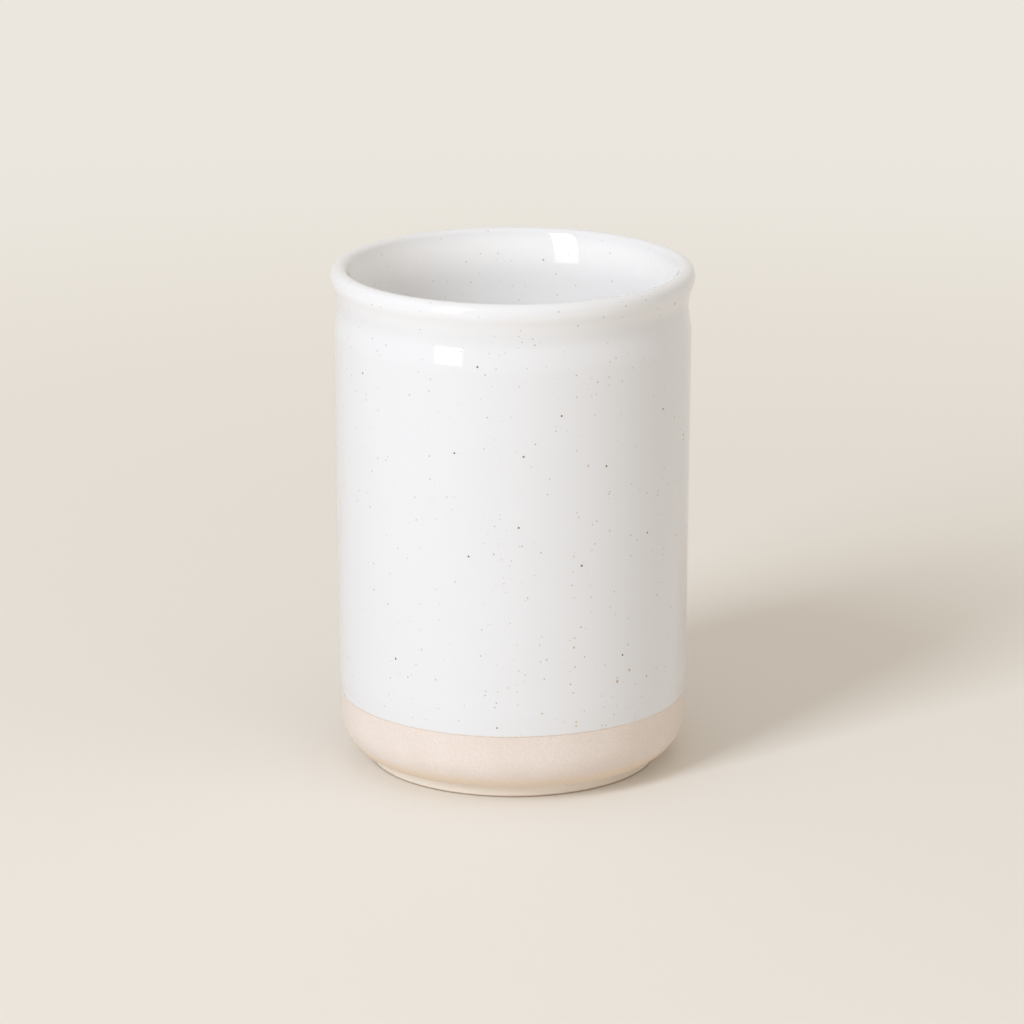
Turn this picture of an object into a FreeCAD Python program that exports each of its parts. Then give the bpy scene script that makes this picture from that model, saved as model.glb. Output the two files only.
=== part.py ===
import FreeCAD, Part

import math
import os
from collections import namedtuple
from types import SimpleNamespace

import Sketcher

# A free-standing stoneware crock that holds kitchen utensils on end.
# It is one round fired clay body with a coat of glaze fused to it, and nothing else.
# The glaze covers the inside, the lip and the outside down to a level dip line.
# Below that line the heel and the foot ring are bare clay.
# The origin is on the floor, under the centre of the foot ring, and +Z is the pot's axis.

# Driving dimensions in millimetres, of the clay alone apart from the overall height.
# Heights near the top hang from the lip and heights near the bottom stand on the floor,
# so a change of the overall height is taken up by the straight wall.
SIZES = {
    "overall_height": 175.0,      # floor to the top of the glazed lip
    "body_radius": 59.9,          # outside of the wall, where the heel starts to turn under
    "wall_flare": 1.08,           # how much the wall would widen from there up to the neck
    "wall_thickness": 6.6,        # clay between the outside at the heel and the well
    "shoulder_curve": 30.0,       # radius of the shoulder, on top of the straight wall
    "slope_height": 4.3,          # height of the straight slope from the shoulder to the neck
    "slope_inset": 0.62,          # how far that slope leads in
    "neck_curve": 10.0,           # radius of the neck's hollow, below its narrowest place
    "neck_below_lip": 10.5,       # narrowest place of the neck, below the widest of the lip
    "lip_overhang": 2.1,          # how far the lip stands out past the neck
    "lip_curve": 5.5,             # radius of the outer side of the lip
    "lip_drop": 0.7,              # widest place of the lip, below the centre of its top curve
    "lip_round": 2.6,             # radius over the top of the lip
    "flare_curve": 32.0,          # radius of the inside as it opens out to the lip
    "well_corner": 12.0,          # radius where the wall of the well meets its floor
    "base_thickness": 5.5,        # clay under the floor of the well
    "bare_wall": 8.3,             # straight wall left bare between the heel and the dip line
    "heel_rise": 11.5,            # height of the heel's curve above the ledge over the foot
    "heel_inset": 6.2,            # how far the heel is drawn in where it turns under
    "heel_edge": 1.5,             # radius of the edge where the heel turns under
    "ledge_width": 4.1,           # from the centre of that edge in to the side of the foot
    "foot_height": 5.0,           # floor to the ledge
    "foot_fillet": 1.5,           # radius in the corner between the ledge and the foot
    "foot_width": 7.0,            # width of the foot ring
    "foot_edge": 0.8,             # radius of the foot ring's two lower edges
    "recess_depth": 3.5,          # height of the underside above the floor
    "recess_fillet": 1.5,         # radius in the corner between the foot and the underside
    "glaze_thickness": 0.4,       # fused coat, the same all over
}
size = SimpleNamespace(**SIZES)

doc = FreeCAD.newDocument("UtensilCrock")

# What a sketch calls its own origin and axes.
ORIGIN = (-1, 1)
FLOOR_LINE = -1
AXIS_LINE = -2

# An edge of a sketch, with its two ends and its centre as the sketch numbers them.
Edge = namedtuple("Edge", "index start end centre")

# A stop on the way round the section. The edge that leaves it has a name and, if it is an
# arc, a centre. Clay lies inside an arc unless it is hollow. The stops of the surface that
# gets glazed also say which way the clay faces.
Stop = namedtuple("Stop", "spot leads centre hollow faces", defaults=(None, None, False, None))


def make_sheet():
    """The driving dimensions, each in a named cell."""
    sheet = doc.addObject("Spreadsheet::Sheet", "Sizes")
    for row, (name, value) in enumerate(SIZES.items(), start=1):
        sheet.set(f"A{row}", name)
        sheet.set(f"B{row}", str(value))
        sheet.setAlias(f"B{row}", name)
    doc.recompute()


def place(radius, height):
    """A point of the half section: its distance from the axis, and its height."""
    return FreeCAD.Vector(radius, height, 0)


def toward(start, end):
    """The unit vector from one point to another."""
    return (end - start).normalize()


class HalfSection:
    """A sketch of half the section, upright on the axis, to be turned into a round form."""

    def __init__(self, body):
        planes = {plane.Role: plane for plane in body.Origin.OriginFeatures}
        self.sketch = body.newObject("Sketcher::SketchObject", body.Label + "_section")
        self.sketch.AttachmentSupport = [(planes["XZ_Plane"], "")]
        self.sketch.MapMode = "FlatFace"

    def add(self, shape, first_end, last_end, guide=False):
        index = self.sketch.addGeometry(shape, guide)
        return Edge(index, (index, first_end), (index, last_end), (index, 3))

    def line(self, start, end, guide=False):
        return self.add(Part.LineSegment(start, end), 1, 2, guide)

    def mark(self, spot):
        """A point that is only measured to."""
        return self.add(Part.Point(spot), 1, 1, guide=True)

    def arc(self, start, end, centre, hollow=False):
        first, last = (end, start) if hollow else (start, end)
        first_angle = math.atan2(first.y - centre.y, first.x - centre.x)
        last_angle = math.atan2(last.y - centre.y, last.x - centre.x)
        if last_angle < first_angle:
            last_angle += 2 * math.pi
        circle = Part.Circle(centre, FreeCAD.Vector(0, 0, 1), (start - centre).Length)
        shape = Part.ArcOfCircle(circle, first_angle, last_angle)
        return self.add(shape, 2, 1) if hollow else self.add(shape, 1, 2)

    def run(self, stops):
        """The edges from stop to stop, by name."""
        edges = {}
        for stop, after in zip(stops, stops[1:]):
            if stop.centre is None:
                edges[stop.leads] = self.line(stop.spot, after.spot)
            else:
                edges[stop.leads] = self.arc(stop.spot, after.spot, stop.centre, stop.hollow)
        return edges

    def hold(self, kind, *what):
        self.sketch.addConstraint(Sketcher.Constraint(kind, *what))

    def meet(self, first, second):
        self.hold("Coincident", *first, *second)

    def smooth(self, *edges):
        """Each edge leads into the next without a corner."""
        for before, after in zip(edges, edges[1:]):
            self.hold("Tangent", *before.end, *after.start)

    def upright(self, *edges):
        for edge in edges:
            self.hold("Vertical", edge.index)

    def level(self, *edges):
        for edge in edges:
            self.hold("Horizontal", edge.index)

    def on_axis(self, *spots):
        for spot in spots:
            self.hold("PointOnObject", *spot, AXIS_LINE)

    def drive(self, kind, what, names):
        """A dimension that is the sum of the named sizes."""
        value = sum(SIZES[name] for name in names)
        number = self.sketch.addConstraint(Sketcher.Constraint(kind, *what, value))
        total = " + ".join("Sizes." + name for name in names)
        self.sketch.setExpression(f"Constraints[{number}]", total)

    def across(self, start, end, *names):
        self.drive("DistanceX", (*start, *end), names)

    def up(self, start, end, *names):
        self.drive("DistanceY", (*start, *end), names)

    def radius(self, edge, name):
        self.drive("Radius", (edge.index,), (name,))


def neck_height():
    """Height of the narrowest place of the neck, which hangs from the top of the lip."""
    crown_height = size.overall_height - size.glaze_thickness - size.lip_round
    return crown_height - size.lip_drop - size.neck_below_lip


def surface_stops(lowest):
    """The surface that gets glazed, as bare clay: up from some height on the straight wall,
    over the lip, and down inside to the middle of the well's floor."""
    outward = place(1, 0)
    inward = place(-1, 0)
    upward = place(0, 1)
    narrowest = neck_height()
    well_radius = size.body_radius - size.wall_thickness
    floor_height = size.recess_depth + size.base_thickness

    wall_foot = place(size.body_radius, size.foot_height + size.heel_rise)
    along_wall = toward(wall_foot, place(size.body_radius + size.wall_flare, narrowest))
    wall_faces = place(along_wall.y, -along_wall.x)

    def on_wall(height):
        return wall_foot + along_wall * ((height - wall_foot.y) / along_wall.y)

    # A straight slope leads in from the shoulder to the neck, and touches the curves of both.
    slope_faces = place(size.slope_height, size.slope_inset).normalize()
    shoulder_rise = size.shoulder_curve * (slope_faces.y - wall_faces.y)
    neck_rise = size.neck_curve * slope_faces.y
    shoulder = on_wall(narrowest - neck_rise - size.slope_height - shoulder_rise)
    shoulder_centre = shoulder - wall_faces * size.shoulder_curve
    slope_foot = shoulder_centre + slope_faces * size.shoulder_curve
    slope_top = slope_foot + place(-size.slope_inset, size.slope_height)
    neck_centre = slope_top + slope_faces * size.neck_curve
    neck = neck_centre + inward * size.neck_curve

    # The hollow goes on up to the lip with another radius, which follows from how far the lip
    # lies above the neck and outside it.
    lip_reach = size.lip_overhang ** 2 + size.neck_below_lip ** 2
    under_lip_curve = lip_reach / (2 * size.lip_overhang) - size.lip_curve
    under_lip_centre = neck + outward * under_lip_curve
    lip_centre = neck + place(size.lip_overhang - size.lip_curve, size.neck_below_lip)
    under_lip_end = toward(lip_centre, under_lip_centre)

    crown_across = math.sqrt((size.lip_curve - size.lip_round) ** 2 - size.lip_drop ** 2)
    crown = lip_centre + place(crown_across, size.lip_drop)
    side_end = toward(lip_centre, crown)

    flare_across = well_radius + size.flare_curve - crown.x
    flare_up = math.sqrt((size.flare_curve - size.lip_round) ** 2 - flare_across ** 2)
    flare_centre = crown + place(flare_across, -flare_up)
    crown_end = toward(flare_centre, crown)

    corner_centre = place(well_radius - size.well_corner, floor_height + size.well_corner)
    return [
        Stop(on_wall(lowest), "wall", faces=wall_faces),
        Stop(shoulder, "shoulder", shoulder_centre, faces=wall_faces),
        Stop(slope_foot, "slope", faces=slope_faces),
        Stop(slope_top, "neck", neck_centre, hollow=True, faces=slope_faces),
        Stop(neck, "under_lip", under_lip_centre, hollow=True, faces=outward),
        Stop(lip_centre + under_lip_end * size.lip_curve,
             "lip_side", lip_centre, faces=under_lip_end),
        Stop(crown + side_end * size.lip_round, "lip_top", crown, faces=side_end),
        Stop(crown + crown_end * size.lip_round, "flare", flare_centre, faces=crown_end),
        Stop(flare_centre + inward * size.flare_curve, "well_wall", faces=inward),
        Stop(corner_centre - inward * size.well_corner,
             "well_corner", corner_centre, hollow=True, faces=inward),
        Stop(corner_centre - upward * size.well_corner, "well_floor", faces=upward),
        Stop(place(0, floor_height), faces=upward),
    ]


def foot_stops(wall_foot):
    """The underside, the foot ring, the ledge over it and the heel, up to the wall."""
    edge_centre = place(size.body_radius - size.heel_inset, size.foot_height + size.heel_edge)
    foot_outside = edge_centre.x - size.ledge_width
    foot_inside = foot_outside - size.foot_width

    # The heel's radius follows from the wall above it and the edge below it.
    reach = wall_foot.spot - edge_centre
    heel_curve = (reach.dot(reach) - size.heel_edge ** 2) / (
        2 * (reach.dot(wall_foot.faces) - size.heel_edge))
    heel_centre = wall_foot.spot - wall_foot.faces * heel_curve
    heel_start = edge_centre + toward(heel_centre, edge_centre) * size.heel_edge

    recess = place(foot_inside - size.recess_fillet, size.recess_depth - size.recess_fillet)
    inner_edge = place(foot_inside + size.foot_edge, size.foot_edge)
    outer_edge = place(foot_outside - size.foot_edge, size.foot_edge)
    fillet = place(foot_outside + size.foot_fillet, size.foot_height - size.foot_fillet)
    return [
        Stop(place(0, size.recess_depth), "underside"),
        Stop(place(recess.x, size.recess_depth), "recess_fillet", recess, hollow=True),
        Stop(place(foot_inside, recess.y), "recess_side"),
        Stop(place(foot_inside, size.foot_edge), "inner_edge", inner_edge),
        Stop(place(inner_edge.x, 0), "foot_face"),
        Stop(place(outer_edge.x, 0), "outer_edge", outer_edge),
        Stop(place(foot_outside, size.foot_edge), "foot_side"),
        Stop(place(foot_outside, fillet.y), "foot_fillet", fillet, hollow=True),
        Stop(place(fillet.x, size.foot_height), "ledge"),
        Stop(place(edge_centre.x, size.foot_height), "heel_edge", edge_centre),
        Stop(heel_start, "heel", heel_centre),
    ]


def mark_on(section, edge, spot, level_with):
    """A mark on a line or an arc, or on the rest of that line, level with another point."""
    mark = section.mark(spot)
    section.hold("PointOnObject", *mark.start, edge.index)
    section.hold("Horizontal", *mark.start, *level_with)
    return mark.start


def hold_surface(section, edges, stops, wall_foot):
    """The dimensions of the surface that gets glazed, from the foot of the straight wall."""
    slope, neck, lip, top = (edges[name] for name in ("slope", "neck", "lip_side", "lip_top"))
    stop_of = {stop.leads: stop for stop in stops}
    flared = mark_on(section, edges["wall"],
                     place(size.body_radius + size.wall_flare, neck_height()), neck.end)
    widest = mark_on(section, lip,
                     stop_of["lip_side"].centre + place(size.lip_curve, 0), lip.centre)
    glazed_top = section.mark(place(0, size.overall_height))
    section.on_axis(glazed_top.start, edges["well_floor"].end)
    section.upright(edges["well_wall"])
    section.level(edges["well_floor"])
    section.hold("Horizontal", *neck.end, *neck.centre)

    section.across(ORIGIN, wall_foot, "body_radius")
    section.across(wall_foot, flared, "wall_flare")
    section.across(slope.end, slope.start, "slope_inset")
    section.across(neck.end, widest, "lip_overhang")
    section.across(edges["well_wall"].end, wall_foot, "wall_thickness")

    section.up(ORIGIN, wall_foot, "foot_height", "heel_rise")
    section.up(ORIGIN, glazed_top.start, "overall_height")
    section.up(top.centre, glazed_top.start, "lip_round", "glaze_thickness")
    section.up(lip.centre, top.centre, "lip_drop")
    section.up(neck.end, lip.centre, "neck_below_lip")
    section.up(slope.start, slope.end, "slope_height")
    section.up(ORIGIN, edges["well_floor"].end, "recess_depth", "base_thickness")

    section.radius(edges["shoulder"], "shoulder_curve")
    section.radius(neck, "neck_curve")
    section.radius(lip, "lip_curve")
    section.radius(top, "lip_round")
    section.radius(edges["flare"], "flare_curve")
    section.radius(edges["well_corner"], "well_corner")


def hold_foot(section, edges, wall_foot):
    """The dimensions of the foot ring, the ledge and the heel."""
    section.upright(edges["recess_side"], edges["foot_side"])
    section.level(edges["underside"], edges["foot_face"], edges["ledge"])
    section.on_axis(edges["underside"].start)
    section.hold("PointOnObject", *edges["foot_face"].start, FLOOR_LINE)
    section.hold("Equal", edges["inner_edge"].index, edges["outer_edge"].index)

    section.across(edges["heel_edge"].centre, wall_foot, "heel_inset")
    section.across(edges["foot_side"].start, edges["heel_edge"].centre, "ledge_width")
    section.across(edges["recess_side"].end, edges["foot_side"].start, "foot_width")
    section.up(ORIGIN, edges["ledge"].start, "foot_height")
    section.up(ORIGIN, edges["underside"].start, "recess_depth")

    section.radius(edges["heel_edge"], "heel_edge")
    section.radius(edges["foot_fillet"], "foot_fillet")
    section.radius(edges["recess_fillet"], "recess_fillet")
    section.radius(edges["outer_edge"], "foot_edge")


def turn(body, section):
    """The round form that the half section makes about the pot's axis."""
    form = body.newObject("PartDesign::Revolution", body.Label + "_form")
    form.Profile = section.sketch
    form.ReferenceAxis = (section.sketch, ["V_Axis"])
    form.Angle = 360
    body.Tip = form
    return body


def start_body(name):
    body = doc.addObject("PartDesign::Body", name)
    body.Label = name
    body.Placement = FreeCAD.Placement()
    return body


def make_clay_body():
    """The fired clay: foot ring, heel, wall, shoulder, neck and rolled lip, around the well."""
    body = start_body("clay_body")
    section = HalfSection(body)
    surface = surface_stops(size.foot_height + size.heel_rise)
    edges = section.run(foot_stops(surface[0]) + surface)
    axis = section.line(surface[-1].spot, place(0, size.recess_depth))

    section.smooth(*edges.values())
    section.meet(edges["well_floor"].end, axis.start)
    section.meet(axis.end, edges["underside"].start)
    wall_foot = edges["wall"].start
    hold_surface(section, edges, surface, wall_foot)
    hold_foot(section, edges, wall_foot)
    return turn(body, section)


def make_glaze_coat():
    """The fused glaze: one even coat over the clay, which ends in a round edge at the dip
    line. Its inner face is the clay's own surface, and its outer face runs parallel to it."""
    body = start_body("glaze_coat")
    section = HalfSection(body)
    coat = size.glaze_thickness
    wall_foot = surface_stops(size.foot_height + size.heel_rise)[0].spot
    dip_line = wall_foot.y + size.bare_wall
    surface = surface_stops(dip_line)
    glazed = [stop._replace(spot=stop.spot + stop.faces * coat)
              for stop in surface_stops(dip_line + coat)]
    inner = section.run(surface)
    outer = section.run(glazed)

    # The clay's straight wall goes on below the dip line, where it is only a guide here.
    guide = section.line(wall_foot, surface[1].spot, guide=True)
    section.meet(guide.end, inner["wall"].end)
    section.hold("PointOnObject", *inner["wall"].start, guide.index)
    section.smooth(*inner.values())
    hold_surface(section, inner, surface, guide.start)
    section.up(guide.start, inner["wall"].start, "bare_wall")

    section.smooth(*outer.values())
    for name in ("wall", "slope"):
        section.hold("Parallel", inner[name].index, outer[name].index)
    section.upright(outer["well_wall"])
    section.level(outer["well_floor"])
    section.on_axis(outer["well_floor"].end)
    for stop in surface:
        if stop.centre is not None:
            section.meet(inner[stop.leads].centre, outer[stop.leads].centre)
    section.up(inner["well_floor"].end, outer["well_floor"].end, "glaze_thickness")
    section.up(inner["wall"].start, outer["wall"].start, "glaze_thickness")

    dip_centre = place(surface[0].spot.x, glazed[0].spot.y)
    dip_edge = section.arc(surface[0].spot, glazed[0].spot, dip_centre)
    section.meet(inner["wall"].start, dip_edge.start)
    section.smooth(dip_edge, outer["wall"])
    axis = section.line(surface[-1].spot, glazed[-1].spot)
    section.meet(inner["well_floor"].end, axis.start)
    section.meet(outer["well_floor"].end, axis.end)
    return turn(body, section)


def check_and_write(bodies):
    """Stop if anything in the document failed, and write one file for each body."""
    for item in doc.Objects:
        if {"Invalid", "Error"} & set(item.State):
            raise RuntimeError(f"{item.Label} failed: {item.State}")
        if item.isDerivedFrom("Sketcher::SketchObject") and not item.FullyConstrained:
            raise RuntimeError(f"{item.Label} is not fully dimensioned")
    for body in bodies:
        if body.Shape.isNull() or not body.Shape.isValid():
            raise RuntimeError(f"{body.Label} has no valid shape")
    os.makedirs("parts", exist_ok=True)
    for body in bodies:
        body.Shape.exportStep(f"parts/{body.Label}.step")
        box = body.Shape.optimalBoundingBox()
        print(f"{body.Label}: {len(body.Shape.Solids)} solid, {body.Shape.Volume:.0f} mm3, "
              f"{box.XLength:.2f} x {box.YLength:.2f} x {box.ZLength:.2f} mm, "
              f"from z {box.ZMin:.2f} to {box.ZMax:.2f}")


make_sheet()
pot = [make_clay_body(), make_glaze_coat()]
doc.recompute()
check_and_write(pot)
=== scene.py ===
# A free-standing stoneware crock that holds kitchen utensils on end.
# It is thrown and turned in one piece, then dipped in white glaze down to a level line near
# the bottom. The heel and the foot ring below that line are bare fired clay.
import math
from collections import namedtuple

import bpy
from bpy.props import FloatProperty, FloatVectorProperty, IntProperty, PointerProperty
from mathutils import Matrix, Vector, noise


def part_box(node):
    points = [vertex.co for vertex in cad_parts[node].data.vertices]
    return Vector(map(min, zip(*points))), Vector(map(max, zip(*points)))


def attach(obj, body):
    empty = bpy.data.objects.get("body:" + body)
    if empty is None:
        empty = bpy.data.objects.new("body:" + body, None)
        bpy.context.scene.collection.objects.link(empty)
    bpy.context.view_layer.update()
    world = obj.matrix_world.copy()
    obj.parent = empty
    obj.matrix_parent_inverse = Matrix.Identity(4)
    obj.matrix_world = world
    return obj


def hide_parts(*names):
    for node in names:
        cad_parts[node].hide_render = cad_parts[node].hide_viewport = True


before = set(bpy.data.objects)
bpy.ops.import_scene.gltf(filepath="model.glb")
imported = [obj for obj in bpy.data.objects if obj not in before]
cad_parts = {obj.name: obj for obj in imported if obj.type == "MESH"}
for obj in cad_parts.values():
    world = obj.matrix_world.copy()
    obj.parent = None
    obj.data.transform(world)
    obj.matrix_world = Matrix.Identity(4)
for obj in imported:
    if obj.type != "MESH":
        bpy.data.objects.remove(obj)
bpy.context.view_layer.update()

bl_info = {
    "name": "Utensil Crock",
    "version": (1, 0, 0),
    "blender": (4, 5, 0),
    "location": "3D View > Sidebar > Crock",
    "description": "Throws, glazes and lights a stoneware crock for kitchen utensils",
    "category": "Add Mesh",
}

MM = 0.001

# The frame's round parts have flat facets, so its sizes are read to 0.01 mm.
CLAY_TOP = round(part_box("clay_body")[1].z / MM, 2)
GLAZE_FLOOR = round(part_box("glaze_coat")[0].z / MM, 2)
GLAZE_TOP = round(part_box("glaze_coat")[1].z / MM, 2)
LIP_RADIUS = round(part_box("glaze_coat")[1].x / MM, 2)


def linear(hex_code):
    """The linear colour of an sRGB hex code."""
    parts = [int(hex_code[i:i + 2], 16) / 255 for i in (1, 3, 5)]
    return tuple(c / 12.92 if c <= 0.04045 else ((c + 0.055) / 1.055) ** 2.4 for c in parts)


def length(name, millimetres, description):
    """A size that a user may change, kept in metres."""
    return FloatProperty(name=name, description=description, default=millimetres * MM,
                         precision=5, unit="LENGTH")


def colour(name, hex_code, description):
    """A colour that a user may change."""
    return FloatVectorProperty(name=name, description=description, default=linear(hex_code),
                               size=3, min=0.0, max=1.0, subtype="COLOR")


class CrockForm(bpy.types.PropertyGroup):
    """The sizes that the crock is thrown and turned to."""
    height: length("Height", GLAZE_TOP, "Floor to the top of the glazed lip")
    lip_radius: length("Lip radius", LIP_RADIUS, "Widest radius of the glazed lip")
    coat: length("Glaze", GLAZE_TOP - CLAY_TOP, "Thickness of the glaze")
    well_floor: length("Well floor", GLAZE_FLOOR, "Height of the clay floor of the well")
    lip_overhang: length("Lip overhang", 2.1, "How far the lip stands out past the neck")
    lip_round: length("Lip round", 2.6, "Radius over the top of the lip")
    lip_curve: length("Lip curve", 5.5, "Radius of the outer side of the lip")
    lip_drop: length("Lip drop", 0.7, "From the centre of the lip's top down to its widest")
    neck_below_lip: length("Neck below lip", 10.5, "From the lip's widest to the narrowest")
    neck_curve: length("Neck curve", 10.0, "Radius of the hollow below the narrowest")
    slope_inset: length("Slope inset", 0.62, "How far the slope over the shoulder leads in")
    slope_height: length("Slope height", 4.3, "Height of that slope")
    shoulder_curve: length("Shoulder curve", 30.0, "Radius of the shoulder")
    wall_flare: length("Wall flare", 1.08, "How much the wall widens up to the neck's height")
    wall: length("Wall", 6.6, "Thickness of the wall at the heel")
    flare_curve: length("Flare curve", 32.0, "Radius of the inside as it opens to the lip")
    well_corner: length("Well corner", 12.0, "Radius where the inside meets the floor")
    bare_wall: length("Bare wall", 8.3, "Straight wall left bare above the heel")
    heel_rise: length("Heel rise", 11.5, "Height of the heel's curve")
    heel_inset: length("Heel inset", 6.2, "How far the heel is drawn in")
    heel_edge: length("Heel edge", 1.5, "Radius where the heel turns under")
    ledge: length("Ledge", 4.1, "From the centre of the heel's edge in to the foot")
    foot_height: length("Foot height", 5.0, "Floor to the ledge over the foot ring")
    foot_width: length("Foot width", 7.0, "Width of the foot ring")
    foot_fillet: length("Foot fillet", 1.5, "Radius between the ledge and the foot")
    foot_edge: length("Foot edge", 0.8, "Radius of the foot ring's lower edges")
    recess: length("Recess", 3.5, "Height of the underside above the floor")
    recess_fillet: length("Recess fillet", 1.5, "Radius between the foot and underside")


class CrockFinish(bpy.types.PropertyGroup):
    """Colours of the glaze and the clay, and how even the maker's hand was."""
    glaze: colour("Glaze", "#E9EAEE", "White of the glaze over most of the pot")
    glaze_thin: colour("Thin glaze", "#E7E8EB", "White where the glaze lies a little thinner")
    # Painted light: a whiter glaze that lightens the well and the band under the lip.
    painted_light_glaze: colour("Glaze with painted light", "#F6F6F7", "Whiter where it was poured into the well")
    glaze_edge: colour("Glaze edge", "#E6DAD0", "Thin glaze at the dip line, with clay showing")
    iron: colour("Iron speck", "#3D3129", "Iron that melted through from the clay")
    dim: colour("Dim speck", "#A0968B", "Iron just under the glaze")
    faint: colour("Faint speck", "#C6BEB4", "Iron that stayed deep under the glaze")
    tan: colour("Tan speck", "#CBB497", "Soft tan speck with little iron")
    clay: colour("Clay", "#E8DDD6", "Bare fired clay")
    clay_pale: colour("Pale clay", "#ECE2DC", "Palest patches of the clay")
    clay_grain: colour("Clay grain", "#E0D0C3", "Sand and fine iron in the clay")
    # Tan band where the heel turns under: partly the clay's own tan, partly painted shade.
    clay_crease_tan_and_shade: colour("Heel tan and painted shade", "#EEDCC8", "Tan clay where the heel turns under")
    # Paler foot ring: painted light where the heel's overhang shades the foot.
    clay_foot_painted_light: colour("Foot", "#FAF1E5", "Pale clay of the foot ring, wiped clean")
    # Darker lowest edge of the foot: painted shade where the foot meets the floor.
    clay_contact_shade: colour("Painted contact shade", "#CDB69F", "Darker clay where the foot was ground flat")
    warp: length("Warp", 0.08, "How far the pot is out of true")
    rim_wave: length("Rim wave", 0.10, "How far the rim rises and falls")
    ripple: length("Ripple", 0.010, "Height of the slow ripples in the glaze")
    dip_waver: length("Dip waver", 0.18, "How far the dip line wanders up and down")
    turning: length("Turning marks", 0.03, "Depth of the spiral that turning left")
    bearings: IntProperty(name="Bearings", description="Faces round the pot", default=300,
                          min=24)


class CrockStage(bpy.types.PropertyGroup):
    """The floor, the lamps and the camera."""
    floor: colour("Floor", "#ECE8E2", "Matt cream paper under the pot")
    backdrop: colour("Backdrop", "#ECE7DE", "The same paper further off, where it is lit evenly")
    sky: colour("Sky", "#FFF7EC", "Soft light that comes from all round")
    sky_low: FloatProperty(name="Low sky", description="Level of the soft light from the sides",
                           default=0.07, min=0.0)
    sky_high: FloatProperty(name="High sky", description="Level of the soft light overhead",
                            default=0.87, min=0.0)
    fill: colour("Fill", "#FBF5EB", "Warm light of the wide reflector")
    fill_level: FloatProperty(name="Fill level", description="Level of the wide reflector's light",
                              default=0.50, min=0.0)
    fill_bearing: FloatProperty(name="Fill bearing", description="Side that the reflector is on",
                                default=math.radians(50), subtype="ANGLE")
    key: colour("Key", "#F1F7FF", "Cooler light of the tall softbox")
    key_power: FloatProperty(name="Key power", description="Power of the tall softbox",
                             default=72.0, min=0.0, unit="POWER")
    skirt_power: FloatProperty(name="Skirt power", description="Power of the softbox's skirt",
                               default=8.2, min=0.0, unit="POWER")
    key_width: length("Key width", 870.0, "Width of the softbox")
    key_low: length("Key low", 1050.0, "Height of the softbox's lower edge")
    key_high: length("Key high", 3450.0, "Height of the softbox's upper edge")
    key_distance: length("Key distance", 2600.0, "From the pot to the softbox")
    key_bearing: FloatProperty(name="Key bearing", description="Side that the softbox is on",
                               default=math.radians(-41), subtype="ANGLE")
    lens: FloatProperty(name="Lens", description="Focal length of the camera",
                        default=168.75, min=1.0, unit="CAMERA")
    camera_distance: length("Camera distance", 1661.0, "From the camera to its aim")
    camera_tilt: FloatProperty(name="Camera tilt", description="How far it looks down",
                               default=math.radians(15.83), subtype="ANGLE")
    aim_height: length("Aim height", 87.1, "Height on the pot that the camera looks at")
    aim_across: length("Aim across", -0.30, "Aim to the right of the pot's axis")


# A place on the section of the pot: its radius and height, the way that it faces, and how
# much of the glaze's thickness lies under it.
Station = namedtuple("Station", "spot faces under", defaults=(0.0,))

# The longest step along a curve, along a straight wall and across the turned underside,
# and the most that one step turns.
CURVE_STEP = 1.2 * MM
WALL_STEP = 2.5 * MM
TURNED_STEP = 0.5 * MM
TURN_STEP = math.radians(7)

# Ways to face, as angles in the right half of the section. Inward has two, half a turn
# either way from outward.
OUTWARD = 0.0
UPWARD = math.pi / 2
DOWNWARD = -math.pi / 2
INWARD = math.pi
INWARD_BELOW = -math.pi


def spot(radius, height):
    return Vector((radius, height))


def facing(angle):
    return Vector((math.cos(angle), math.sin(angle)))


def angle_of(way):
    return math.atan2(way.y, way.x)


def straight(start, end, angle, step=WALL_STEP):
    """Stations on a straight stretch, all but its end."""
    steps = max(1, math.ceil((end - start).length / step))
    return [Station(start.lerp(end, i / steps), facing(angle)) for i in range(steps)]


def bend(centre, radius, start, end, hollow=False):
    """Stations on an arc that turns from one facing to another, all but its end."""
    turned = abs(end - start)
    steps = max(1, math.ceil(turned / TURN_STEP), math.ceil(turned * radius / CURVE_STEP))
    side = -radius if hollow else radius
    ways = [facing(start + (end - start) * i / steps) for i in range(steps)]
    return [Station(centre + way * side, way) for way in ways]


class Wall:
    """The outside of the clay between the heel and the neck: a straight wall, the shoulder on
    top of it, and a straight slope in to the neck. It is worked out from the neck down."""

    def __init__(self, form):
        self.lip_height = form.height - form.coat - form.lip_round - form.lip_drop
        self.neck = spot(form.lip_radius - form.coat - form.lip_overhang,
                         self.lip_height - form.neck_below_lip)
        foot_height = form.foot_height + form.heel_rise
        self.along = spot(form.wall_flare, self.neck.y - foot_height).normalized()
        self.faces = spot(self.along.y, -self.along.x)
        self.lean = angle_of(self.faces)

        slope = spot(-form.slope_inset, form.slope_height)
        self.slope_faces = spot(slope.y, -slope.x).normalized()
        self.hollow = self.neck + spot(form.neck_curve, 0)
        self.slope_top = self.hollow - self.slope_faces * form.neck_curve
        self.slope_foot = self.slope_top - slope
        self.shoulder = self.slope_foot - self.slope_faces * form.shoulder_curve
        self.top = self.shoulder + self.faces * form.shoulder_curve
        self.foot = self.at(foot_height)
        self.dip = self.at(foot_height + form.bare_wall)

    def at(self, height):
        return self.top + self.along * ((height - self.top.y) / self.along.y)


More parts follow.
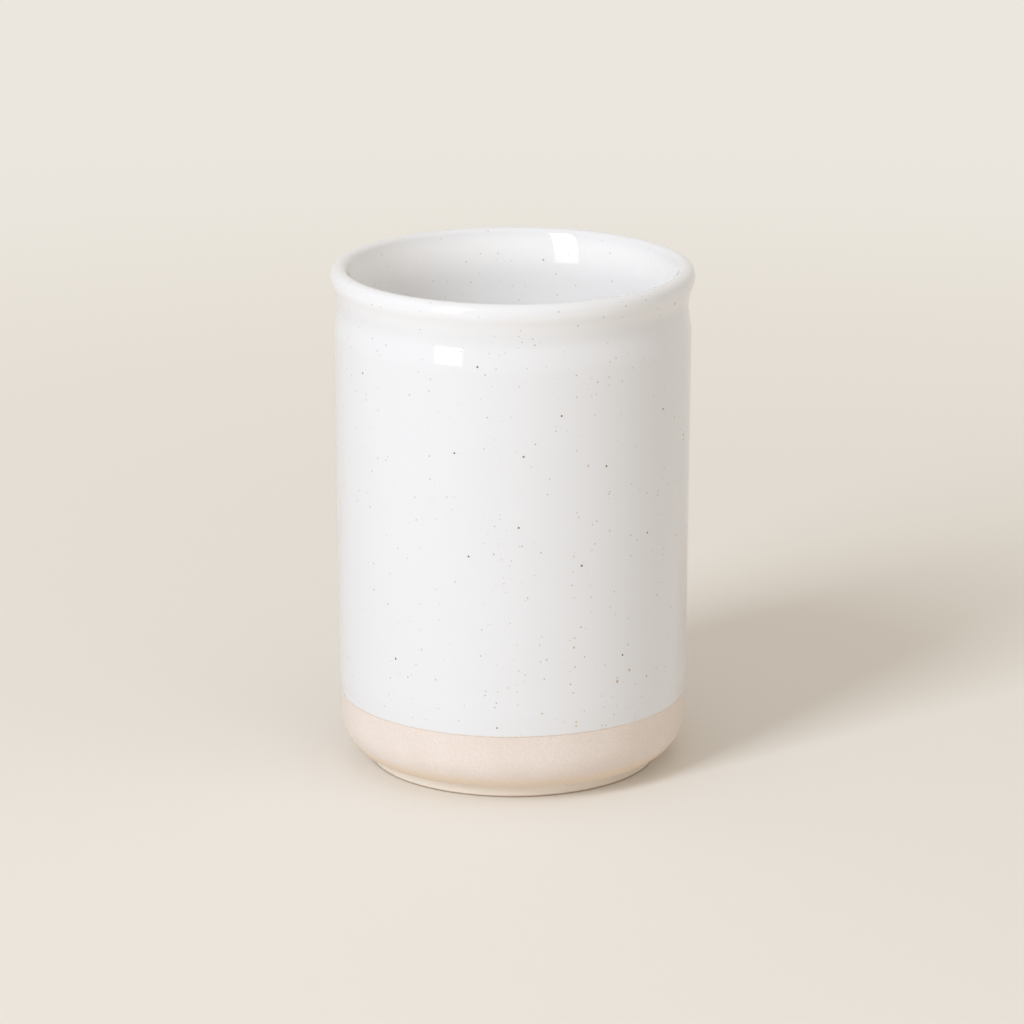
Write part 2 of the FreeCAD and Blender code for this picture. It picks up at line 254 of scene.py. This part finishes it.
def glazed_surface(form, start, coat=0.0):
    """The surface from a start on the outer wall, over the lip and down to the middle of the
    well's floor. It is the clay's, or that of a coat of some thickness."""
    wall = Wall(form)
    slope = angle_of(wall.slope_faces)
    lift = wall.slope_faces * coat

    # The hollow goes on up to the lip with another radius, which follows from how far the lip
    # lies above the neck and outside it.
    reach = form.lip_overhang ** 2 + form.neck_below_lip ** 2
    under_lip_curve = reach / (2 * form.lip_overhang) - form.lip_curve
    under_lip = wall.neck + spot(under_lip_curve, 0)
    lip = spot(wall.neck.x + form.lip_overhang - form.lip_curve, wall.lip_height)
    under_lip_end = angle_of(under_lip - lip)

    crown_in = math.sqrt((form.lip_curve - form.lip_round) ** 2 - form.lip_drop ** 2)
    crown = lip + spot(crown_in, form.lip_drop)
    lip_end = angle_of(crown - lip)

    well_radius = wall.foot.x - form.wall
    flare_across = well_radius + form.flare_curve - crown.x
    flare_down = math.sqrt((form.flare_curve - form.lip_round) ** 2 - flare_across ** 2)
    flare = crown + spot(flare_across, -flare_down)
    crown_end = angle_of(crown - flare)

    corner = spot(well_radius - form.well_corner, form.well_floor + form.well_corner)
    inside = well_radius - coat
    bottom = form.well_floor + coat
    return [
        *straight(start + wall.faces * coat, wall.top + wall.faces * coat, wall.lean),
        *bend(wall.shoulder, form.shoulder_curve + coat, wall.lean, slope),
        *straight(wall.slope_foot + lift, wall.slope_top + lift, slope),
        *bend(wall.hollow, form.neck_curve - coat, slope, OUTWARD, hollow=True),
        *bend(under_lip, under_lip_curve - coat, OUTWARD, under_lip_end, hollow=True),
        *bend(lip, form.lip_curve + coat, under_lip_end, lip_end),
        *bend(crown, form.lip_round + coat, lip_end, crown_end),
        *bend(flare, form.flare_curve + coat, crown_end, INWARD),
        *straight(spot(inside, flare.y), spot(inside, corner.y), INWARD),
        *bend(corner, form.well_corner - coat, INWARD, UPWARD, hollow=True),
        *straight(spot(corner.x, bottom), spot(0, bottom), UPWARD),
        Station(spot(0, bottom), facing(UPWARD)),
    ]


def bare_foot(form):
    """The underside, the foot ring, the ledge over it and the heel, up to the wall."""
    wall = Wall(form)
    edge = spot(wall.foot.x - form.heel_inset, form.foot_height + form.heel_edge)
    outside = edge.x - form.ledge
    inside = outside - form.foot_width

    # The heel's radius follows from the wall above it and the edge below it.
    reach = wall.foot - edge
    heel_curve = (reach.length_squared - form.heel_edge ** 2) / (
        2 * (reach.dot(wall.faces) - form.heel_edge))
    heel = wall.foot - wall.faces * heel_curve
    heel_start = angle_of(edge - heel)

    recess = spot(inside - form.recess_fillet, form.recess - form.recess_fillet)
    inner = spot(inside + form.foot_edge, form.foot_edge)
    outer = spot(outside - form.foot_edge, form.foot_edge)
    fillet = spot(outside + form.foot_fillet, form.foot_height - form.foot_fillet)
    return [
        *straight(spot(0, form.recess), spot(recess.x, form.recess), DOWNWARD, TURNED_STEP),
        *bend(recess, form.recess_fillet, DOWNWARD, INWARD_BELOW, hollow=True),
        *straight(spot(inside, recess.y), spot(inside, inner.y), INWARD_BELOW),
        *bend(inner, form.foot_edge, INWARD_BELOW, DOWNWARD),
        *straight(spot(inner.x, 0), spot(outer.x, 0), DOWNWARD),
        *bend(outer, form.foot_edge, DOWNWARD, OUTWARD),
        *straight(spot(outside, outer.y), spot(outside, fillet.y), OUTWARD),
        *bend(fillet, form.foot_fillet, OUTWARD, DOWNWARD, hollow=True),
        *straight(spot(fillet.x, form.foot_height), spot(edge.x, form.foot_height), DOWNWARD),
        *bend(edge, form.heel_edge, DOWNWARD, heel_start),
        *bend(heel, heel_curve, heel_start, wall.lean),
    ]


def rise(value, low, high):
    """A smooth step from 0 at low to 1 at high."""
    share = min(max((value - low) / (high - low), 0.0), 1.0)
    return share * share * (3 - 2 * share)


def drift(way, lobes, height=0.0):
    """A slow wander round the pot, from 0 to 1, with about so many lobes."""
    return 0.5 + 0.5 * noise.noise(Vector((way.x * lobes, way.y * lobes, height)))


def dip_waver(finish, way):
    """How far above level the dip line lies at some bearing: a slow sway, small waves and
    the little runs that the glaze made as it dried."""
    sway = noise.noise(way * 1.5 + Vector((0, 0, 3)))
    waves = noise.noise(way * 7 + Vector((0, 0, 11)))
    runs = noise.noise(way * 24 + Vector((0, 0, 23)))
    return finish.dip_waver * (sway + 0.5 * waves + 0.4 * runs)


def fire(form, finish, station, way):
    """Where a station lies once the pot is dried and fired, which leaves none quite true. The
    foot is ground level afterwards, so the wall moves more the higher up it is."""
    radius, height = station.spot
    free = rise(height, form.foot_height, form.height)
    warp = finish.warp * free * drift(way, 0.8, height / (120 * MM))
    sink = finish.rim_wave * rise(height, form.height / 2, form.height) * drift(way, 1.1, 5)
    return spot(radius - warp * radius / form.lip_radius, height - sink)


def turn(name, section, bearings, settle):
    """A closed round mesh from a section that starts and ends on the axis. settle gives the
    place of a station at a bearing, and how far it is above the dip line. The mesh keeps that
    for its material, and how far each place faces into the well."""
    ring = len(section) - 2
    points = []
    above_dip = []
    in_well = []
    for number in range(bearings):
        bearing = 2 * math.pi * number / bearings
        way = Vector((math.cos(bearing), math.sin(bearing), 0))
        for station in section[1:-1]:
            place, above = settle(station, way)
            points.append((way.x * place.x, way.y * place.x, place.y))
            above_dip.append(above / MM)
            in_well.append(rise(station.faces.y - station.faces.x, 0.5, 1.0))
    bottom, top = len(points), len(points) + 1
    for end in (section[0], section[-1]):
        points.append((0, 0, end.spot.y))
        above_dip.append(end.spot.y / MM)
        in_well.append(1.0)

    faces = []
    for number in range(bearings):
        here = number * ring
        there = (number + 1) % bearings * ring
        faces.append((bottom, there, here))
        faces.append((top, here + ring - 1, there + ring - 1))
        for i in range(ring - 1):
            faces.append((here + i, there + i, there + i + 1, here + i + 1))
    mesh = bpy.data.meshes.new(name)
    mesh.from_pydata(points, [], faces)
    mesh.shade_smooth()
    for mark, values in (("above_dip", above_dip), ("in_well", in_well)):
        mesh.attributes.new(mark, "FLOAT", "POINT").data.foreach_set("value", values)
    piece = bpy.data.objects.new(name, mesh)
    bpy.context.collection.objects.link(piece)
    return piece


def add(tree, kind, settings, inputs):
    """A node with its settings, and its inputs by name or number: each is a value, or the
    socket of another node to link from."""
    node = tree.nodes.new(kind)
    for name, value in settings.items():
        setattr(node, name, value)
    for key, value in inputs.items():
        if isinstance(value, bpy.types.NodeSocket):
            tree.links.new(value, node.inputs[key])
        else:
            node.inputs[key].default_value = value
    return node


def start_material(name):
    """An empty material, its node tree, and a place on the object in millimetres."""
    material = bpy.data.materials.new(name)
    material.use_nodes = True
    tree = material.node_tree
    tree.nodes.clear()
    metres = add(tree, "ShaderNodeTexCoord", {}, {}).outputs["Object"]
    place = add(tree, "ShaderNodeVectorMath", {"operation": "SCALE"}, {0: metres, "Scale": 1 / MM})
    return material, tree, place.outputs[0]


def opaque(tone):
    """A colour with the fourth number that a colour socket wants."""
    return (*tone, 1.0)


def paint(tree, ground, layers):
    """The colour of a ground with layers over it, each a share and a colour."""
    for share, tone in layers:
        mixed = add(tree, "ShaderNodeMix", {"data_type": "RGBA"},
                    {0: share, 6: ground, 7: opaque(tone)})
        ground = mixed.outputs[2]
    return ground


# A speck that shows by itself: its bearing from the front in degrees, its height and its
# width in millimetres.
Speck = namedtuple("Speck", "bearing height width")

IRON_SPECKS = (
    Speck(-55.5, 145.5, 0.45), Speck(-11, 154, 0.45), Speck(-18.5, 124, 0.45),
    Speck(3.5, 123.5, 0.45), Speck(15.5, 137, 0.45), Speck(31, 118, 0.45),
    Speck(2, 99, 0.45), Speck(-14, 88.5, 0.4), Speck(22.5, 84.5, 0.5),
    Speck(48.5, 91.5, 0.4), Speck(-41, 48.5, 0.5), Speck(38, 50.5, 0.45),
    Speck(-5, 28.5, 0.35), Speck(62.5, 168, 0.45), Speck(56, 133, 0.4),
    Speck(72, 120, 0.45), Speck(72, 118.5, 0.4),
)

TAN_SPECKS = (
    Speck(-52.5, 99.5, 0.45), Speck(-43.5, 41, 0.35), Speck(-36, 43, 0.35),
    Speck(41, 44.5, 0.7), Speck(36, 41.5, 0.8), Speck(49, 40.5, 0.6),
    Speck(20, 56, 0.5), Speck(11, 52.5, 0.4), Speck(9.5, 33.5, 0.45),
    Speck(21, 29.5, 0.35), Speck(21, 28, 0.35), Speck(24.5, 119, 0.45),
)


def nearest_edge(tree, form, unrolled, specks):
    """How far inside the edge of the nearest listed speck a place is, in millimetres."""
    girth = Wall(form).foot.x / MM
    nearest = -1.0
    for speck in specks:
        centre = (math.radians(speck.bearing) * girth, speck.height, 0)
        away = add(tree, "ShaderNodeVectorMath", {"operation": "DISTANCE"},
                   {0: unrolled, 1: centre})
        inside = add(tree, "ShaderNodeMath", {"operation": "SUBTRACT"},
                     {0: speck.width / 2, 1: away.outputs["Value"]})
        nearest = add(tree, "ShaderNodeMath", {"operation": "MAXIMUM"},
                      {0: nearest, 1: inside.outputs[0]}).outputs[0]
    return nearest


def white_glaze(form, finish):
    """Tin-white stoneware glaze, poured and dipped, then fired glossy. To the eye it is a
    glassy white with sharp reflections, peppered with iron from the clay. At the dip line it
    thins out over a millimetre."""
    material, tree, place = start_material("dipped white stoneware glaze")

    # Specks are rarely round, so the places that they are drawn at are nudged about.
    nudge = add(tree, "ShaderNodeTexNoise", {}, {"Vector": place, "Scale": 1 / 0.6})
    nudge = add(tree, "ShaderNodeVectorMath", {"operation": "MULTIPLY_ADD"},
                {0: nudge.outputs["Color"], 1: (0.3, 0.3, 0.3), 2: place})
    nudged = nudge.outputs[0]
    axes = add(tree, "ShaderNodeSeparateXYZ", {}, {0: nudged})
    backward = axes.outputs["Y"]
    forward = add(tree, "ShaderNodeMath", {"operation": "MULTIPLY"}, {0: backward, 1: -1.0})
    bearing = add(tree, "ShaderNodeMath", {"operation": "ARCTAN2"},
                  {0: axes.outputs["X"], 1: forward.outputs[0]})
    round_way = add(tree, "ShaderNodeMath", {"operation": "MULTIPLY"},
                    {0: bearing.outputs[0], 1: Wall(form).foot.x / MM})
    unrolled = add(tree, "ShaderNodeCombineXYZ", {},
                   {"X": round_way.outputs[0], "Y": axes.outputs["Z"]}).outputs[0]

    # The glaze in the well is painted whiter, which is painted light, and this fades out over the
    # last 7 mm below the rim. On the outside a whiter band is painted in the hollow under the lip:
    # painted light where the lip shades the neck.
    height = axes.outputs["Z"]
    rim = form.height / MM
    under_lip = rim - 6.5
    below_rim_fade = add(tree, "ShaderNodeMapRange", {"interpolation_type": "SMOOTHSTEP"},
                  {"Value": height, "From Min": rim, "From Max": rim - 7.0})
    well = add(tree, "ShaderNodeAttribute", {"attribute_name": "in_well"}, {}).outputs["Fac"]
    painted_well_light = add(tree, "ShaderNodeMath", {"operation": "MULTIPLY"},
                 {0: well, 1: below_rim_fade.outputs[0]}).outputs[0]
    from_hollow = add(tree, "ShaderNodeMath", {"operation": "SUBTRACT"}, {0: height, 1: under_lip})
    from_hollow = add(tree, "ShaderNodeMath", {"operation": "ABSOLUTE"},
                      {0: from_hollow.outputs[0]})
    painted_light_under_lip = add(tree, "ShaderNodeMapRange", {"interpolation_type": "SMOOTHSTEP"},
                   {"Value": from_hollow.outputs[0], "From Min": 6.0, "From Max": 1.0,
                    "To Max": 0.5})
    layers = [(painted_light_under_lip.outputs[0], finish.painted_light_glaze), (painted_well_light, finish.painted_light_glaze)]

    # Four kinds of speck: the cells that they are spread over, then their least and greatest
    # radius and how soft their edge is, in millimetres.
    for cell, least, greatest, soft, tone in (
            (2.7, 0.06, 0.30, 0.16, finish.faint),
            (5.0, 0.05, 0.24, 0.12, finish.dim),
            (9.0, 0.10, 0.30, 0.20, finish.tan),
            (7.5, 0.10, 0.30, 0.08, finish.iron)):
        cells = add(tree, "ShaderNodeTexVoronoi", {}, {"Vector": nudged, "Scale": 1 / cell})
        radius = add(tree, "ShaderNodeMapRange", {},
                     {"Value": cells.outputs["Color"], "From Min": 0.2, "From Max": 0.8,
                      "To Min": least, "To Max": greatest})
        inside = add(tree, "ShaderNodeMath", {"operation": "MULTIPLY_ADD"},
                     {0: cells.outputs["Distance"], 1: -cell, 2: radius.outputs[0]})
        share = add(tree, "ShaderNodeMapRange", {"interpolation_type": "SMOOTHSTEP"},
                    {"Value": inside.outputs[0], "From Min": -soft / 2, "From Max": soft / 2})
        if tone == finish.iron:
            # The front's own dark specks are listed, so these keep to the back and the well.
            behind = add(tree, "ShaderNodeMapRange", {}, {"Value": backward, "From Min": -2.0,
                                                         "From Max": 2.0})
            share = add(tree, "ShaderNodeMath", {"operation": "MULTIPLY"},
                        {0: share.outputs[0], 1: behind.outputs[0]})
        layers.append((share.outputs[0], tone))

    for specks, soft, tone in ((TAN_SPECKS, 0.3, finish.tan), (IRON_SPECKS, 0.35, finish.tan),
                               (IRON_SPECKS, 0.15, finish.iron)):
        inside = nearest_edge(tree, form, unrolled, specks)
        share = add(tree, "ShaderNodeMapRange", {"interpolation_type": "SMOOTHSTEP"},
                    {"Value": inside, "From Min": -soft, "From Max": soft / 4})
        layers.append((share.outputs[0], tone))

    # In the well the painted light is laid once more over the specks, so that they show less.
    well_light_on_specks = add(tree, "ShaderNodeMath", {"operation": "MULTIPLY"}, {0: painted_well_light, 1: 0.35})
    layers.append((well_light_on_specks.outputs[0], finish.painted_light_glaze))

    # The last millimetre of glaze thins out unevenly, and the clay shows through it.
    above = add(tree, "ShaderNodeAttribute", {"attribute_name": "above_dip"}, {}).outputs["Fac"]
    uneven = add(tree, "ShaderNodeTexNoise", {}, {"Vector": place, "Scale": 1 / 1.5})
    above = add(tree, "ShaderNodeMath", {"operation": "ADD"}, {0: above, 1: uneven.outputs["Fac"]})
    ending = add(tree, "ShaderNodeMapRange", {"interpolation_type": "SMOOTHSTEP"},
                 {"Value": above.outputs[0], "From Min": 1.3, "From Max": 0.5})
    layers.append((ending.outputs[0], finish.glaze_edge))

    cloud = add(tree, "ShaderNodeTexNoise", {}, {"Vector": place, "Scale": 1 / 28, "Detail": 2.0})
    ground = paint(tree, opaque(finish.glaze), [(cloud.outputs["Fac"], finish.glaze_thin)])
    white = paint(tree, ground, layers)

    # Glaze settles into a faint orange peel about 3 mm across.
    peel = add(tree, "ShaderNodeTexNoise", {}, {"Vector": place, "Scale": 1 / 3, "Detail": 1.0})
    bumps = add(tree, "ShaderNodeBump", {}, {"Height": peel.outputs["Fac"], "Strength": 1.0,
                                             "Distance": 0.0015 * MM})
    shader = add(tree, "ShaderNodeBsdfPrincipled", {},
                 {"Base Color": white, "Roughness": 0.025, "IOR": 1.5,
                  "Normal": bumps.outputs[0]})
    add(tree, "ShaderNodeOutputMaterial", {}, {"Surface": shader.outputs[0]})
    return material


def bare_clay(form, finish):
    """Fine stoneware clay, turned smooth and fired without glaze. To the eye it is dry, matt and
    faintly sandy. A soft tan band is painted where the heel turns under, partly the clay's own tan
    and partly painted shade; the foot ring below is painted paler as painted light, and its lowest
    edge darker as painted shade."""
    material, tree, place = start_material("bare fired stoneware clay")
    height = add(tree, "ShaderNodeSeparateXYZ", {}, {0: place}).outputs["Z"]

    patches = add(tree, "ShaderNodeTexNoise", {}, {"Vector": place, "Scale": 1 / 11,
                                                   "Detail": 3.0})
    pale = add(tree, "ShaderNodeMapRange", {}, {"Value": patches.outputs["Fac"],
                                                "From Min": 0.3, "From Max": 0.7})
    # A tan band is painted where the heel turns under to the crease: partly the clay's own tan,
    # partly painted shade.
    from_turn = add(tree, "ShaderNodeMath", {"operation": "SUBTRACT"}, {0: height, 1: 6.5})
    from_turn = add(tree, "ShaderNodeMath", {"operation": "ABSOLUTE"}, {0: from_turn.outputs[0]})
    painted_crease_shade_and_tan = add(tree, "ShaderNodeMapRange", {"interpolation_type": "SMOOTHSTEP"},
                  {"Value": from_turn.outputs[0], "From Min": 4.5, "From Max": 0.5})
    # Fine sand, 0.4 mm from grain to grain.
    grit = add(tree, "ShaderNodeTexNoise", {}, {"Vector": place, "Scale": 1 / 0.4,
                                                "Detail": 2.0})
    grain = add(tree, "ShaderNodeMapRange", {}, {"Value": grit.outputs["Fac"],
                                                 "From Min": 0.45, "From Max": 0.75})
    # The foot ring under the ledge is painted paler: painted light where the heel's overhang shades
    # it.
    foot = add(tree, "ShaderNodeMapRange", {"interpolation_type": "SMOOTHSTEP"},
               {"Value": height, "From Min": 6.0, "From Max": 4.0})
    # The lowest millimetre of the foot is painted darker: painted shade where the foot meets the
    # floor.
    ground = add(tree, "ShaderNodeMapRange", {"interpolation_type": "SMOOTHSTEP"},
                 {"Value": height, "From Min": 0.9, "From Max": 0.2})
    tone = paint(tree, opaque(finish.clay), [
        (pale.outputs[0], finish.clay_pale),
        (painted_crease_shade_and_tan.outputs[0], finish.clay_crease_tan_and_shade),
        (grain.outputs[0], finish.clay_grain),
        (foot.outputs[0], finish.clay_foot_painted_light),
        (ground.outputs[0], finish.clay_contact_shade),
    ])

    bumps = add(tree, "ShaderNodeBump", {}, {"Height": grit.outputs["Fac"], "Strength": 1.0,
                                             "Distance": 0.015 * MM})
    shader = add(tree, "ShaderNodeBsdfPrincipled", {},
                 {"Base Color": tone, "Roughness": 0.9, "IOR": 1.5, "Normal": bumps.outputs[0]})
    add(tree, "ShaderNodeOutputMaterial", {}, {"Surface": shader.outputs[0]})
    return material


def cream_paper(stage):
    """Matt cream background paper, smooth and even. Further off than the pot's shadow, what is seen
    of it gives off one even pale colour of its own."""
    material, tree, place = start_material("matt cream paper")
    fibre = add(tree, "ShaderNodeTexNoise", {}, {"Vector": place, "Scale": 1 / 0.8})
    bumps = add(tree, "ShaderNodeBump", {}, {"Height": fibre.outputs["Fac"], "Strength": 1.0,
                                             "Distance": 0.01 * MM})
    shader = add(tree, "ShaderNodeBsdfPrincipled", {},
                 {"Base Color": opaque(stage.floor), "Roughness": 1.0, "IOR": 1.4,
                  "Normal": bumps.outputs[0]})
    away = add(tree, "ShaderNodeVectorMath", {"operation": "LENGTH"}, {0: place})
    far = add(tree, "ShaderNodeMapRange", {"interpolation_type": "SMOOTHSTEP"},
              {"Value": away.outputs["Value"], "From Min": 150.0, "From Max": 1100.0})
    share = add(tree, "ShaderNodeMath", {"operation": "MULTIPLY"},
                {0: far.outputs[0], 1: seen_ray(tree)})
    even = add(tree, "ShaderNodeEmission", {}, {"Color": opaque(stage.backdrop)})
    mixed = add(tree, "ShaderNodeMixShader", {},
                {0: share.outputs[0], 1: shader.outputs[0], 2: even.outputs[0]})
    add(tree, "ShaderNodeOutputMaterial", {}, {"Surface": mixed.outputs[0]})
    return material


def seen_ray(tree):
    """1 for what is seen straight, in a reflection or through glass, and 0 for light."""
    rays = add(tree, "ShaderNodeLightPath", {}, {}).outputs
    seen = rays["Is Camera Ray"]
    for name in ("Is Glossy Ray", "Is Transmission Ray"):
        seen = add(tree, "ShaderNodeMath", {"operation": "MAXIMUM"},
                   {0: seen, 1: rays[name]}).outputs[0]
    return seen


class CROCK_OT_throw_clay(bpy.types.Operator):
    """Throw and turn the clay body, with its foot ring, heel, wall, neck and rolled lip"""
    bl_idname = "crock.throw_clay"
    bl_label = "Throw Clay Body"

    def execute(self, context):
        form, finish = context.scene.crock_form, context.scene.crock_finish
        wall = Wall(form)
        section = bare_foot(form) + glazed_surface(form, wall.foot)
        spiral_edge = 4 * MM
        spiral_pitch = 2.6 * MM
        underside = wall.foot.x - form.heel_inset - form.ledge - form.foot_width

        def settle(station, way):
            place = fire(form, finish, station, way)
            if place.y == form.recess:
                turned = station.spot.x / spiral_pitch * 2 * math.pi + math.atan2(way.y, way.x)
                fade = rise(underside - place.x, form.recess_fillet, spiral_edge)
                place.y += finish.turning * (0.5 + 0.5 * math.sin(turned)) * fade
            return place, place.y - wall.dip.y - dip_waver(finish, way)

        clay = turn("fired_clay_pot", section, finish.bearings, settle)
        clay.data.materials.append(bare_clay(form, finish))
        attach(clay, "root")
        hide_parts("clay_body")
        return {"FINISHED"}


class CROCK_OT_dip_in_glaze(bpy.types.Operator):
    """Dip the pot in white glaze, which covers it inside and out down to the dip line"""
    bl_idname = "crock.dip_in_glaze"
    bl_label = "Dip in Glaze"

    def execute(self, context):
        form, finish = context.scene.crock_form, context.scene.crock_finish
        wall = Wall(form)
        edge = wall.dip + wall.along * 8 * MM
        under = glazed_surface(form, wall.dip)
        thinned = [Station(wall.dip.lerp(edge, share) + wall.faces * form.coat * rise(share, -0.1, 1),
                           wall.faces)
                   for share in (0.0, 0.05, 0.1, 0.2, 0.3, 0.4, 0.5, 0.6, 0.7, 0.8, 0.9)]
        outer = thinned + glazed_surface(form, edge, form.coat)
        section = under[::-1] + [station._replace(under=1.0) for station in outer]

        # The dip line's wander fades out up the wall. A place in the well is far from it.
        sway_height = 8 * MM
        ripple_width = 14 * MM

        def settle(station, way):
            place = fire(form, finish, station, way)
            outside = station.spot.x > wall.dip.x - form.wall / 2
            above = station.spot.y - wall.dip.y if outside else form.height
            place += wall.along * dip_waver(finish, way) * (1 - rise(above, 0, sway_height))
            ripple = noise.noise(Vector((way.x * place.x, way.y * place.x, place.y)) / ripple_width)
            swell = finish.ripple * (ripple - 1) * rise(above, 0, sway_height)
            return place + station.faces * swell * station.under, above

        glaze = turn("white_glaze_coat", section, finish.bearings, settle)
        glaze.data.materials.append(white_glaze(form, finish))
        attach(glaze, "root")
        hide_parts("glaze_coat")
        return {"FINISHED"}


class CROCK_OT_set_stage(bpy.types.Operator):
    """Lay the cream floor, hang the lamps and set up the camera"""
    bl_idname = "crock.set_stage"
    bl_label = "Set Stage"

    def execute(self, context):
        stage = context.scene.crock_stage
        self.lay_floor(stage)
        self.hang_lamp(stage, "tall softbox", stage.key_low, stage.key_high, stage.key_power)
        self.hang_lamp(stage, "softbox skirt", 0.0, stage.key_low, stage.skirt_power)
        self.light_sky(context.scene, stage)
        self.set_camera(context.scene, stage)
        return {"FINISHED"}

    def lay_floor(self, stage):
        reach = 8.0
        corners = [(-reach, -reach, 0), (reach, -reach, 0), (reach, reach, 0), (-reach, reach, 0)]
        mesh = bpy.data.meshes.new("floor")
        mesh.from_pydata(corners, [], [(0, 1, 2, 3)])
        floor = bpy.data.objects.new("floor", mesh)
        bpy.context.collection.objects.link(floor)
        floor.data.materials.append(cream_paper(stage))

    def side(self, bearing):
        """The level way from the pot to one side, by its bearing from the front."""
        return Vector((math.sin(bearing), -math.cos(bearing), 0))

    def hang_lamp(self, stage, name, low, high, power):
        """An upright panel of soft light that faces the pot."""
        lamp = bpy.data.lights.new(name, "AREA")
        lamp.shape = "RECTANGLE"
        lamp.size = stage.key_width
        lamp.size_y = high - low
        lamp.energy = power
        lamp.color = stage.key
        panel = bpy.data.objects.new(name, lamp)
        across = self.side(stage.key_bearing)
        panel.location = across * stage.key_distance + Vector((0, 0, (low + high) / 2))
        panel.rotation_euler = (-across).to_track_quat("-Z", "Y").to_euler()
        panel.visible_camera = False
        bpy.context.collection.objects.link(panel)

    def light_sky(self, scene, stage):
        """Soft light that grows towards the top, and a wide reflector on one side. The room
        itself looks like more of the floor's paper."""
        world = bpy.data.worlds.new("soft room")
        world.use_nodes = True
        tree = world.node_tree
        tree.nodes.clear()
        way = add(tree, "ShaderNodeTexCoord", {}, {}).outputs["Generated"]
        up = add(tree, "ShaderNodeSeparateXYZ", {}, {0: way}).outputs["Z"]
        level = add(tree, "ShaderNodeMapRange", {}, {"Value": up, "To Min": stage.sky_low,
                                                     "To Max": stage.sky_high})
        sky = add(tree, "ShaderNodeBackground", {}, {"Color": opaque(stage.sky),
                                                     "Strength": level.outputs[0]})
        towards = add(tree, "ShaderNodeVectorMath", {"operation": "DOT_PRODUCT"},
                      {0: way, 1: self.side(stage.fill_bearing)}).outputs["Value"]
        towards = add(tree, "ShaderNodeMath", {"operation": "MAXIMUM"}, {0: towards, 1: 0.0})
        wide = add(tree, "ShaderNodeMath", {"operation": "POWER"}, {0: towards.outputs[0], 1: 2.0})
        level = add(tree, "ShaderNodeMath", {"operation": "MULTIPLY"},
                    {0: wide.outputs[0], 1: stage.fill_level})
        fill = add(tree, "ShaderNodeBackground", {}, {"Color": opaque(stage.fill),
                                                      "Strength": level.outputs[0]})
        light = add(tree, "ShaderNodeAddShader", {}, {0: sky.outputs[0], 1: fill.outputs[0]})
        paper = add(tree, "ShaderNodeBackground", {}, {"Color": opaque(stage.backdrop)})
        mixed = add(tree, "ShaderNodeMixShader", {},
                    {0: seen_ray(tree), 1: light.outputs[0], 2: paper.outputs[0]})
        add(tree, "ShaderNodeOutputWorld", {}, {"Surface": mixed.outputs[0]})
        scene.world = world

    def set_camera(self, scene, stage):
        lens = bpy.data.cameras.new("camera")
        lens.lens = stage.lens
        camera = bpy.data.objects.new("camera", lens)
        aim = Vector((stage.aim_across, 0, stage.aim_height))
        back = Vector((0, -math.cos(stage.camera_tilt), math.sin(stage.camera_tilt)))
        camera.location = aim + back * stage.camera_distance
        camera.rotation_euler = (math.pi / 2 - stage.camera_tilt, 0, 0)
        bpy.context.collection.objects.link(camera)
        bpy.context.scene.camera = camera
        scene.view_settings.view_transform = "Standard"


class CROCK_PT_sidebar(bpy.types.Panel):
    """The steps and the settings of the crock"""
    bl_idname = "CROCK_PT_sidebar"
    bl_label = "Utensil Crock"
    bl_space_type = "VIEW_3D"
    bl_region_type = "UI"
    bl_category = "Crock"

    def draw(self, context):
        for step, settings in ((CROCK_OT_throw_clay, context.scene.crock_form),
                               (CROCK_OT_dip_in_glaze, context.scene.crock_finish),
                               (CROCK_OT_set_stage, context.scene.crock_stage)):
            box = self.layout.box()
            box.operator(step.bl_idname)
            for name in settings.__annotations__:
                box.prop(settings, name)


CLASSES = (CrockForm, CrockFinish, CrockStage, CROCK_OT_throw_clay, CROCK_OT_dip_in_glaze,
           CROCK_OT_set_stage, CROCK_PT_sidebar)


def register():
    for kind in CLASSES:
        bpy.utils.register_class(kind)
    bpy.types.Scene.crock_form = PointerProperty(type=CrockForm)
    bpy.types.Scene.crock_finish = PointerProperty(type=CrockFinish)
    bpy.types.Scene.crock_stage = PointerProperty(type=CrockStage)


def unregister():
    del bpy.types.Scene.crock_stage
    del bpy.types.Scene.crock_finish
    del bpy.types.Scene.crock_form
    for kind in reversed(CLASSES):
        bpy.utils.unregister_class(kind)


def corners(box):
    """The lowest and highest corner of a box as plain lists of numbers."""
    return [list(corner) for corner in box]


def main():
    register()
    bpy.ops.crock.throw_clay()
    bpy.ops.crock.dip_in_glaze()
    bpy.ops.crock.set_stage()


if __name__ == "__main__":
    main()
